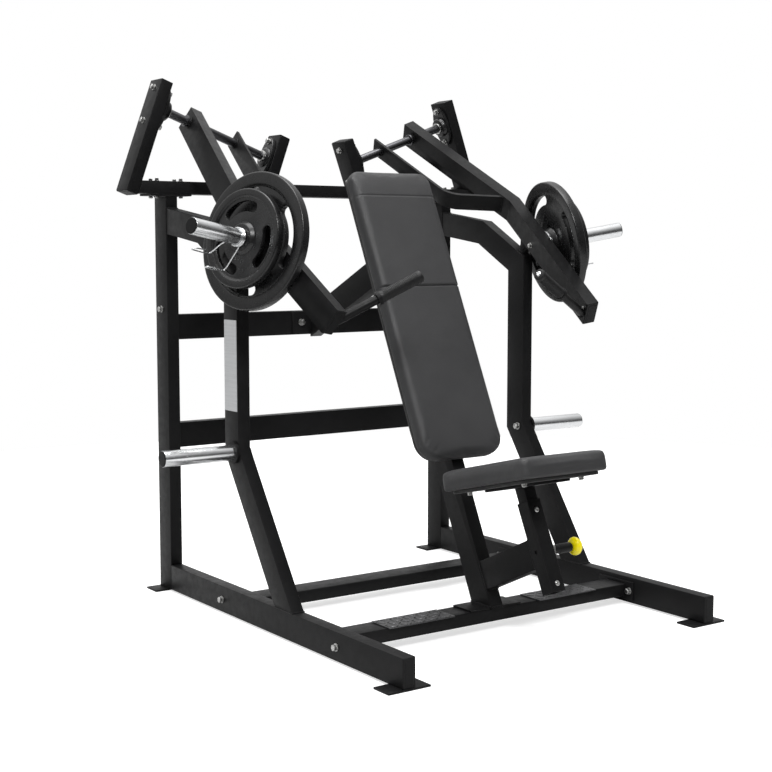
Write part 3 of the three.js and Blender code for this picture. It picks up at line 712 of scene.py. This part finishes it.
outer, outer_race = bearing(OUTER_BEARING_AT, OUTER_BEARING, -1)
inner, inner_race = bearing(INNER_BEARING_AT, INNER_BEARING, 1)
pair("bearing_outer_housing", outer, IRON, "cast_iron", "frame", ["bearing_outer_{}"])
pair("bearing_inner_housing", inner, IRON, "cast_iron", "frame", ["bearing_inner_{}"])
pair("bearing_rings", joined(outer_race, inner_race), STEEL, "steel", "frame")
pair("pivot_shaft_bar", rod(PIVOT + SHAFT * -401.8, PIVOT + SHAFT * 33.5, 15, 48),
     SHAFT_STEEL, "steel", "arm_{}", ["pivot_shaft_{}"])
collars = [lathe([(15.2, 0), (21, 0), (21, 9), (15.2, 9)], PIVOT + SHAFT * s, SHAFT, 36, 0.8)
           for s in (-72, -139)]
pair("shaft_collars", joined(*collars), SHAFT_STEEL, "steel", "arm_{}")

# ---------- weight sleeves and storage horns ----------
pair("weight_sleeve_tube", lathe(
    [(0, half_w + 0.4), (45, half_w + 0.4), (45, half_w + 10.3),
     (SLEEVE_RADIUS + 0.2, half_w + 10.3), (SLEEVE_RADIUS, half_w + 12),
     (SLEEVE_RADIUS, SLEEVE_END - 3), (0, SLEEVE_END - 3)], HUB, OUT, 64, 1.2),
    CHROME, "chrome", "arm_{}", ["weight_sleeve_{}"])
pair("weight_sleeve_plug", lathe(
    [(0, SLEEVE_END - 6), (SLEEVE_RADIUS - 0.6, SLEEVE_END - 6),
     (SLEEVE_RADIUS - 0.6, SLEEVE_END - 1.2), (SLEEVE_RADIUS - 4, SLEEVE_END),
     (0, SLEEVE_END - 0.4)], HUB, OUT, 56, 1.5),
    CAP, "rubber", "arm_{}")
HORN = V(HALF_WIDTH, 899, 535)
pair("storage_horn_tube", lathe(
    [(0, 8), (SLEEVE_RADIUS, 8), (SLEEVE_RADIUS, HORN_LENGTH - 3), (0, HORN_LENGTH - 3)],
    HORN, X, 64, 0.8),
    CHROME, "chrome", "frame", ["storage_horn_{}"])
pair("storage_horn_collar", lathe(
    [(SLEEVE_RADIUS, 0.4), (35, 0.4), (35, 10), (SLEEVE_RADIUS, 10)], HORN, X, 56, 1.6),
    CAP, "rubber", "frame")
pair("storage_horn_plug", lathe(
    [(0, HORN_LENGTH - 6), (SLEEVE_RADIUS - 0.6, HORN_LENGTH - 6),
     (SLEEVE_RADIUS - 0.6, HORN_LENGTH - 1.2), (SLEEVE_RADIUS - 4, HORN_LENGTH),
     (0, HORN_LENGTH - 0.4)], HORN, X, 56, 1.5), CAP, "rubber", "frame")

# ---------- weight plates ----------


def kidney(mid, half, spread, at, steps=14):
    """The outline of a finger slot bent round a plate's centre."""
    out = []
    for i in range(steps + 1):
        t = at - spread + 2 * spread * i / steps
        out.append(((mid + half) * cos(t), (mid + half) * sin(t)))
    for end, start in ((at + spread, at + spread), (at - spread, at - spread + pi)):
        if end == at - spread:
            for i in range(steps + 1):
                t = at + spread - 2 * spread * i / steps
                out.append(((mid - half) * cos(t), (mid - half) * sin(t)))
        for i in range(1, 8):
            t = start + pi * i / 8
            out.append((mid * cos(end) + half * cos(t), mid * sin(end) + half * sin(t)))
    return out


def web(inner, outer, slots, low, high, name):
    """The plate's web with its slots, as a filled 2D curve with eased edges, made into a shape."""
    curve = bpy.data.curves.new(name, "CURVE")
    curve.dimensions = "2D"
    curve.fill_mode = "BOTH"
    curve.extrude = (high - low) / 2 - 1.4
    curve.bevel_depth = 1.4
    curve.bevel_resolution = 2
    circles = [[(r * cos(2 * pi * i / 96), r * sin(2 * pi * i / 96)) for i in range(96)]
               for r in (outer, inner)]
    for outline in circles + slots:
        part = curve.splines.new("POLY")
        part.points.add(len(outline) - 1)
        for point, (x, y) in zip(part.points, outline):
            point.co = (x, y, 0, 1)
        part.use_cyclic_u = True
    holder = bpy.data.objects.new(name, curve)
    bpy.context.scene.collection.objects.link(holder)
    mesh = bpy.data.meshes.new_from_object(
        holder.evaluated_get(bpy.context.evaluated_depsgraph_get()))
    points = [HUB + UP * v.co.x + LEG * v.co.y + OUT * (v.co.z + (low + high) / 2)
              for v in mesh.vertices]
    faces = [tuple(p.vertices) for p in mesh.polygons]
    bpy.data.objects.remove(holder)
    bpy.data.curves.remove(curve)
    bpy.data.meshes.remove(mesh)
    bm = bmesh.new()
    made = [bm.verts.new(p) for p in points]
    for face in faces:
        if len(set(face)) > 2:
            try:
                bm.faces.new([made[i] for i in face])
            except ValueError:
                pass
    bmesh.ops.remove_doubles(bm, verts=bm.verts, dist=0.01)
    bmesh.ops.recalc_face_normals(bm, faces=bm.faces)
    bm.verts.index_update()
    shape = [v.co.copy() for v in bm.verts], [tuple(v.index for v in f.verts) for f in bm.faces]
    bm.free()
    return shape


def weight_plate(r, low, high, rim, thick, hub_low, hub_high, hub_r, slot, name):
    """A cast plate on the sleeve: a rim, a thinner web with three slots, and a hub."""
    mid = (low + high) / 2
    mid_r, half, spread, at = slot
    slots = [kidney(mid_r, half, spread, at + 2 * pi / 3 * i) for i in range(3)]
    ring = lathe([(r - rim, low + 4), (r - rim + 5, low), (r, low), (r, high), (r - rim + 5, high),
                  (r - rim, high - 4)], HUB, OUT, 96, 5.5)
    step = lathe([(r - rim - 3, mid - thick / 2), (r - rim + 3, mid - thick / 2 - 3),
                  (r - rim + 3, mid + thick / 2 + 3), (r - rim - 3, mid + thick / 2)],
                 HUB, OUT, 96, 1.0)
    boss = lathe([(25.6, hub_low), (hub_r - 4, hub_low), (hub_r + 6, mid - thick / 2 - 0.5),
                  (hub_r + 6, mid + thick / 2 + 0.5), (hub_r - 4, hub_high), (25.6, hub_high)],
                 HUB, OUT, 64, 2.0)
    disc = web(hub_r - 2, r - rim + 3, slots, mid - thick / 2, mid + thick / 2, name + "_web")
    return joined(ring, step, boss, disc)


pair("plate_large_casting", weight_plate(
    r=211, low=41, high=71, rim=42, thick=18, hub_low=33, hub_high=86, hub_r=46,
    slot=(149, 18, radians(31), radians(48)), name="plate_large"),
    IRON, "cast_iron", "weights_{}", ["plate_large_{}"], smooth=40)
pair("plate_small_casting", weight_plate(
    r=151, low=87, high=114, rim=26, thick=14, hub_low=86.7, hub_high=119.8, hub_r=46,
    slot=(98, 18, radians(30), radians(70)), name="plate_small"),
    IRON, "cast_iron", "weights_{}", ["plate_small_{}"], smooth=40)

# ---------- spring clips ----------
CLIP_WIRES = [
    [(-21, 21, 123), (-60, 25, 126), (-98, 27, 128), (-107, 28, 142), (-107, 30, 198),
     (-103, 35, 211), (-96, 41, 205), (-94, 43, 168)],
    [(-25, -17, 135), (-57, -38, 133), (-96, -52, 134), (-105, -54, 147), (-103, -52, 203),
     (-98, -46, 217), (-90, -42, 208), (-88, -42, 170)],
]
WIRE_RADIUS = 2.1
COIL_POINTS = 100
COIL_RADIUS = 27.7
coil = []
for i in range(COIL_POINTS):
    t = 2 * pi * i / 26
    coil.append(HUB + (UP * cos(t + 3.9) + LEG * sin(t + 3.9)) * COIL_RADIUS
                + OUT * (122.6 + 12.6 * i / (COIL_POINTS - 1)))
clip = [sweep(coil, WIRE_RADIUS, 10)]
for wire in CLIP_WIRES:
    bends = [HUB + UP * u + LEG * v + OUT * w for u, v, w in wire]
    clip.append(sweep(spline(bends, 7), WIRE_RADIUS, 10))
pair("spring_clip_wire", joined(*clip), CHROME, "steel", "weights_{}", ["spring_clip_{}"],
     smooth=50)

# ---------- handles ----------
handle_length = (handle_tip - handle_root).length
rod_start = handle_root + grip_axis * (-reach / grip_axis.dot(-OUT) - 1)
pair("handle_bar", rod(rod_start, handle_tip - grip_axis * 6, 14, 40), COAT, "coat", "arm_{}",
     ["handle_rod_{}"])
grip_start = handle_length - GRIP_LENGTH
ribs = [(14.2, grip_start + 6), (18.6, grip_start + 6), (18.6, grip_start + 14)]
for i in range(22):
    at = grip_start + 16 + i * 5.4
    ribs += [(18.6, at), (17.7, at + 1.2), (17.7, at + 2.4), (18.6, at + 3.6)]
ribs += [(18.6, handle_length - 14), (18.9, handle_length - 11), (18.9, handle_length - 4),
         (15, handle_length), (0, handle_length)]
pair("handle_grip_sleeve", lathe(ribs, handle_root, grip_axis, 48, 0.5), RUBBER, "rubber",
     "arm_{}", ["handle_grip_{}"], smooth=60)
pair("handle_collar", lathe(
    [(14.2, grip_start - 6), (20.6, grip_start - 6), (20.6, grip_start + 6),
     (14.2, grip_start + 6)], handle_root, grip_axis, 40, 1.2), CAP, "rubber", "arm_{}")
pair("handle_screws", joined(
    button(handle_tip, grip_axis, 8.5, 3.2),
    button(handle_root + grip_axis * grip_start - UP * -20.4, UP, 4.5, 2.2)),
     CHROME, "chrome", "arm_{}")

# ---------- rubber stops under the arms ----------
stop_top = BEND + LEG * 118 - UP * (half_d + 0.5)
slope = atan2(1228.5 - 1116.6, 1118 - 917.75)
normal = Vector((0, -sin(slope), cos(slope)))
surface = V(0, 874.7, 1144.5)
drop = (stop_top - surface).dot(normal) / UP.dot(normal)
stop_foot = stop_top - UP * (drop - 0.4)
stop_height = (stop_top - stop_foot).length
pair("arm_stop_buffer", lathe(
    [(0, 0), (20, 0), (20, 5), (15.5, 9), (14.5, stop_height * 0.5), (16.8, stop_height - 7),
     (16.8, stop_height), (0, stop_height)],
    stop_foot, UP, 40, 1.6), RUBBER, "rubber", "frame", ["arm_stop_{}"])

# ---------- foot treads: chequer plate with raised lozenges ----------
LOZENGE = [(-11.5, 0), (-4, -3.4), (4, -3.4), (11.5, 0), (4, 3.4), (-4, 3.4)]
treads = [slab(rectangle(167, 410, 327 - CENTRE_Y, 423 - CENTRE_Y, 3), Vector((0, 0, 0)), X, Y,
               CROSS_TOP, CROSS_TOP + 3.6, 0.8)]
for i in range(10):
    for j in range(4):
        cx, cy = 179.5 + i * 24.2, 339.5 + j * 23.6 - CENTRE_Y
        turn = pi / 4 if (i + j) % 2 else -pi / 4
        ex = Vector((cos(turn), sin(turn), 0))
        ey = Vector((-sin(turn), cos(turn), 0))
        treads.append(slab(LOZENGE, Vector((cx, cy, 0)), ex, ey,
                           CROSS_TOP + 3.4, CROSS_TOP + 5, 0.8))
pair("tread_plate", joined(*treads), TREAD, "tread", "frame", ["foot_tread_{}"])

# ---------- name plate: plain brushed metal, on the left side ----------
plate_y, plate_z = (879, 957), (664, 949)
badge = slab(rectangle(plate_y[0] - CENTRE_Y, plate_y[1] - CENTRE_Y, *plate_z, 3),
             Vector((0, 0, 0)), Y, Z, HALF_WIDTH, HALF_WIDTH + 1.0, 0.3)
badge = mirrored(badge)
piece("label_plate", badge, LABEL, "label", "frame", replaced=["name_plate"])

# ---------- seat pin ----------
pin = SEAT_FOOT + SPINE * PIN_AT
piece("pin_barrel", joined(
    lathe([(6.6, 25.2), (14, 25.2), (14, 108), (12.5, 109.3), (6.6, 109.3)], pin, X, 40, 1.0),
    lathe([(13.8, 60), (14.9, 61), (14.9, 104), (13.8, 105)], pin, X, 40, 0.6)),
    COAT, "steel", "frame", replaced=["pin_housing"])
nut_a, nut_b, _ = basis(X)
piece("pin_nut", joined(
    slab(hexagon(38, 0.3), pin, nut_a, nut_b, 27.5, 36, 1.2),
    lathe([(14, 25.2), (21, 25.2), (21, 27.8), (14, 27.8)], pin, X, 36, 0.5)),
    STEEL, "steel", "frame")
piece("pin_rod", rod(pin + X * 21.4, pin + X * 131, 6, 28), STEEL, "steel", "pin",
      replaced=["pull_pin"])
piece("pin_knob_cap", lathe(
    [(6.2, 114), (13, 114), (21, 116.5), (26.5, 121.5), (28, 127), (27, 133), (22.5, 138.5),
     (14, 142), (0, 143)], pin, X, 64, 1.6), YELLOW, "knob", "pin", replaced=["pin_knob"],
      smooth=60)

# ---------- boards and bolts under the pads --------------------


def pad_outline(half, y0, y1, r0, r1, steps=12):
    """A rectangle with rounded corners: radius r0 at y0, and r1 at y1."""
    out = []
    for cx, cy, r, first in (
        (half - r0, y0 + r0, r0, -pi / 2), (half - r1, y1 - r1, r1, 0),
        (-half + r1, y1 - r1, r1, pi / 2), (-half + r0, y0 + r0, r0, pi),
    ):
        out += [(cx + r * cos(first + pi / 2 * i / steps), cy + r * sin(first + pi / 2 * i / steps))
                for i in range(steps + 1)]
    return out


piece("back_board", slab(pad_outline(155, 452, 1435, 60, 34), SPINE_FOOT, X, SPINE,
                         45.3, 57, 1.6), BOARD, "board", "frame", replaced=["backrest_board"])
piece("seat_base_board", slab(pad_outline(146, 10, 376, 30, 30), SEAT_TOP, X, SEAT_BACK,
                              -67, -57.3, 1.4), BOARD, "board", "seat", replaced=["seat_board"])
under = SEAT_TOP - SEAT_UP * 67
screws = []
for x in (-110, 110):
    for y in (66, 322):
        screws.append(bolt(under + X * x + SEAT_BACK * y, -SEAT_UP, 13, 0.2))
piece("seat_screws", joined(*screws), STEEL, "steel", "seat")


# ---------- pads ----------
# The cover before it is blown up: (share of the thickness, how far in from the outline).
PAD_PROFILE = [(0, 4), (0.06, 1.2), (0.14, 0.3), (0.45, 0), (0.74, 0), (0.85, 1.0), (0.93, 3.2),
               (0.98, 6.5), (1.0, 10)]
PAD_VOXEL = 5.0
PAD_PRESSURE = 1.4
PAD_STIFFNESS = 12
PAD_BENDING = 0.6
PAD_HELD_SHARE = 0.35
CLOTH_FRAMES = 20
ROLL_DEPTH = 9
# Seams: (place along the pad, depth, width, how proud the part beyond it stands).
BACK_SEAMS = [(1024.5, 6.5, 2.3, 1.4), (1346, 1.6, 2.6, 0)]


def applied(obj):
    """Puts the result of the object's modifiers into its mesh."""
    graph = bpy.context.evaluated_depsgraph_get()
    mesh = bpy.data.meshes.new_from_object(obj.evaluated_get(graph))
    obj.modifiers.clear()
    old, obj.data = obj.data, mesh
    bpy.data.meshes.remove(old)


def pad(name, node_name, body, outline, low, high, origin, ey, cap, seams=(), rolled=0):
    """An upholstered pad: its cover is blown up by cloth simulation over a board-flat back.

    No point moves more than cap; beyond rolled, the front falls away towards the pad's end.
    """
    ez = X.cross(ey)
    thick = high - low
    count = len(outline)
    points, faces = [], []
    for share, inset in PAD_PROFILE:
        for i, p in enumerate(outline):
            a = (Vector(p) - Vector(outline[i - 1])).normalized()
            b = (Vector(outline[(i + 1) % count]) - Vector(p)).normalized()
            n = Vector((a.y + b.y, -a.x - b.x)).normalized()
            q = Vector(p) - n * (inset - 1.2)
            points.append(origin + X * q.x + ey * q.y + ez * (low + thick * share))
    for ring in range(len(PAD_PROFILE) - 1):
        for i in range(count):
            j = (i + 1) % count
            base = ring * count
            faces.append((base + i, base + j, base + count + j, base + count + i))
    faces.append(tuple(reversed(range(count))))
    faces.append(tuple(range((len(PAD_PROFILE) - 1) * count, len(PAD_PROFILE) * count)))
    obj = piece(name, (points, faces), LEATHER, "upholstery", body, replaced=[node_name])
    remesh = obj.modifiers.new("remesh", "REMESH")
    remesh.mode = "VOXEL"
    remesh.voxel_size = PAD_VOXEL * MM
    applied(obj)
    mesh = obj.data
    start = [v.co.copy() for v in mesh.vertices]
    level = {v.index: ((v.co / MM) - origin).dot(ez) for v in mesh.vertices}
    held = obj.vertex_groups.new(name="held")
    held.add([i for i, z in level.items() if z < low + thick * PAD_HELD_SHARE], 1.0,
             "REPLACE")
    cloth = obj.modifiers.new("cloth", "CLOTH")
    settings = cloth.settings
    settings.quality = 6
    settings.vertex_group_mass = "held"
    settings.use_pressure = True
    settings.uniform_pressure_force = PAD_PRESSURE
    settings.effector_weights.gravity = 0
    settings.tension_stiffness = PAD_STIFFNESS
    settings.compression_stiffness = PAD_STIFFNESS
    settings.bending_stiffness = PAD_BENDING
    cloth.point_cache.frame_start = 1
    cloth.point_cache.frame_end = CLOTH_FRAMES
    for step in range(1, CLOTH_FRAMES + 1):
        bpy.context.scene.frame_set(step)
    applied(obj)
    bpy.context.scene.frame_set(1)
    mesh = obj.data
    for v, from_ in zip(mesh.vertices, start):
        move = v.co - from_
        if move.length:
            v.co = from_ + move.normalized() * (cap * MM * tanh(move.length / (cap * MM)))
    smooth = obj.modifiers.new("ease", "SMOOTH")
    smooth.factor = 0.5
    smooth.iterations = 3
    sub = obj.modifiers.new("finer", "SUBSURF")
    sub.levels = sub.render_levels = 1
    applied(obj)
    mesh = obj.data
    for v in mesh.vertices:
        local = v.co / MM - origin
        along, height = local.dot(ey), local.dot(ez)
        if height < low + thick * 0.1:
            continue
        for at, depth, width, proud in seams:
            gap = (along - at) / width
            if abs(gap) < 3:
                v.co -= ez * (depth * MM * exp(-gap * gap))
            if gap > 0:
                v.co += ez * (proud * MM)
        if rolled and along > rolled:
            share = (height - low) / thick
            v.co -= ez * (ROLL_DEPTH * MM * share * ((along - rolled) / (PAD_END - rolled)) ** 2)
        if height < low + 0.5:
            v.co += ez * (low + 0.5 - height) * MM
    mesh.materials.clear()
    mesh.materials.append(LEATHER)
    mesh.shade_smooth()
    return obj


pad("back_cushion", "backrest_pad", "frame", pad_outline(158, 446, PAD_END, 64, 40), 57.4, 101,
    SPINE_FOOT, SPINE, 4.5, BACK_SEAMS, rolled=1340)
pad("seat_cushion", "seat_pad", "seat", pad_outline(163, -6, 392, 24, 24), -57, 2,
    SEAT_TOP, SEAT_BACK, 4)

# ---------- camera, floor and light ----------
CAMERA = V(-2746.1, -2978.4, 1175.8) * MM
CAMERA_DOWN = 0.0977
CAMERA_TURN = -0.6126
LENS = 66.26
camera = bpy.data.objects.new("camera", bpy.data.cameras.new("camera"))
camera.location = CAMERA
camera.rotation_euler = (radians(90) - CAMERA_DOWN, 0, CAMERA_TURN)
camera.data.sensor_width = 36
camera.data.lens = LENS
camera.data.clip_end = 100
bpy.context.scene.collection.objects.link(camera)
bpy.context.scene.camera = camera


def area_light(name, place, target, size, power):
    """A round white lamp at place, facing target."""
    data = bpy.data.lights.new(name, "AREA")
    data.shape = "DISK"
    data.size = size
    data.energy = power
    lamp = bpy.data.objects.new(name, data)
    lamp.location = place
    lamp.rotation_euler = (Vector(target) - Vector(place)).to_track_quat("-Z", "Y").to_euler()
    bpy.context.scene.collection.objects.link(lamp)


area_light("left_light", (-5.0, 1.2, 2.6), (0, 0, 0.9), size=2.6, power=8)
area_light("front_light", (-1.9, -3.4, 4.4), (0, 0, 0.9), size=1.1, power=150)
area_light("overhead", (-0.2, 0.0, 5.0), (0, 0, 0.6), size=3.0, power=130)
sun_data = bpy.data.lights.new("soft_top", "SUN")
sun_data.energy = 0.9
sun_data.angle = radians(70)
sun = bpy.data.objects.new("soft_top", sun_data)
sun.rotation_euler = (radians(-14), radians(-12), 0)
bpy.context.scene.collection.objects.link(sun)

# The floor's glow is seen by the camera only, so it looks white without lighting the object.
floor_mat = material("studio_floor", (0.6, 0.6, 0.6), 0.85, Specular_IOR_Level=0.1,
                     Emission_Color=(1, 1, 1, 1))
glow = node(floor_mat, "ShaderNodeMath", operation="MULTIPLY")
glow.inputs[1].default_value = FLOOR_GLOW
link(floor_mat, node(floor_mat, "ShaderNodeLightPath").outputs["Is Camera Ray"], glow.inputs[0])
link(floor_mat, glow.outputs["Value"], principled(floor_mat).inputs["Emission Strength"])
floor_where = coordinates(floor_mat)
link(floor_mat, ramp(floor_mat, noise(floor_mat, floor_where, 3.0, 2.0), (0.59, 0.59, 0.59),
                     (0.61, 0.61, 0.61)), principled(floor_mat).inputs["Base Color"])
rim = [(FLOOR_RADIUS * cos(2 * pi * i / 96), FLOOR_RADIUS * sin(2 * pi * i / 96), -0.0005)
       for i in range(96)]
floor_mesh = bpy.data.meshes.new("floor")
floor_mesh.from_pydata(rim, [], [tuple(range(96))])
floor_mesh.materials.append(floor_mat)
floor = bpy.data.objects.new("floor", floor_mesh)
bpy.context.scene.collection.objects.link(floor)


def studio_world():
    """White to the camera; as light on the object it is dimmer, brightest overhead and behind."""
    world = bpy.data.worlds.new("studio")
    world.use_nodes = True
    bpy.context.scene.world = world
    tree = world.node_tree
    tree.nodes.clear()

    def add(kind, **values):
        made = tree.nodes.new(kind)
        for key, value in values.items():
            setattr(made, key, value)
        return made

    def maths(operation, a, b):
        made = add("ShaderNodeMath", operation=operation)
        for socket, value in zip(made.inputs, (a, b)):
            if isinstance(value, (int, float)):
                socket.default_value = value
            else:
                tree.links.new(value, socket)
        return made.outputs["Value"]

    where = add("ShaderNodeTexCoord").outputs["Generated"]
    split = add("ShaderNodeSeparateXYZ")
    tree.links.new(where, split.inputs["Vector"])
    _, y, z = split.outputs
    turned = maths("MULTIPLY", y, 0.5)
    side = maths("MAXIMUM", maths("ADD", turned, 0.5), 0.0)
    level = maths("MULTIPLY", maths("MULTIPLY", side, side), WORLD_SIDE)
    high = maths("MULTIPLY", maths("POWER", maths("MAXIMUM", z, 0.0), 2.0), WORLD_TOP)
    strength = maths("ADD", maths("ADD", level, high), WORLD_BASE)
    soft = add("ShaderNodeBackground")
    tree.links.new(strength, soft.inputs["Strength"])
    white = add("ShaderNodeBackground")
    white.inputs["Color"].default_value = (1, 1, 1, 1)
    white.inputs["Strength"].default_value = 1.0
    soft.inputs["Color"].default_value = (1, 1, 1, 1)
    mix = add("ShaderNodeMixShader")
    tree.links.new(add("ShaderNodeLightPath").outputs["Is Camera Ray"], mix.inputs["Fac"])
    tree.links.new(soft.outputs["Background"], mix.inputs[1])
    tree.links.new(white.outputs["Background"], mix.inputs[2])
    tree.links.new(mix.outputs["Shader"], add("ShaderNodeOutputWorld").inputs["Surface"])


studio_world()
bpy.context.scene.view_settings.view_transform = "Standard"
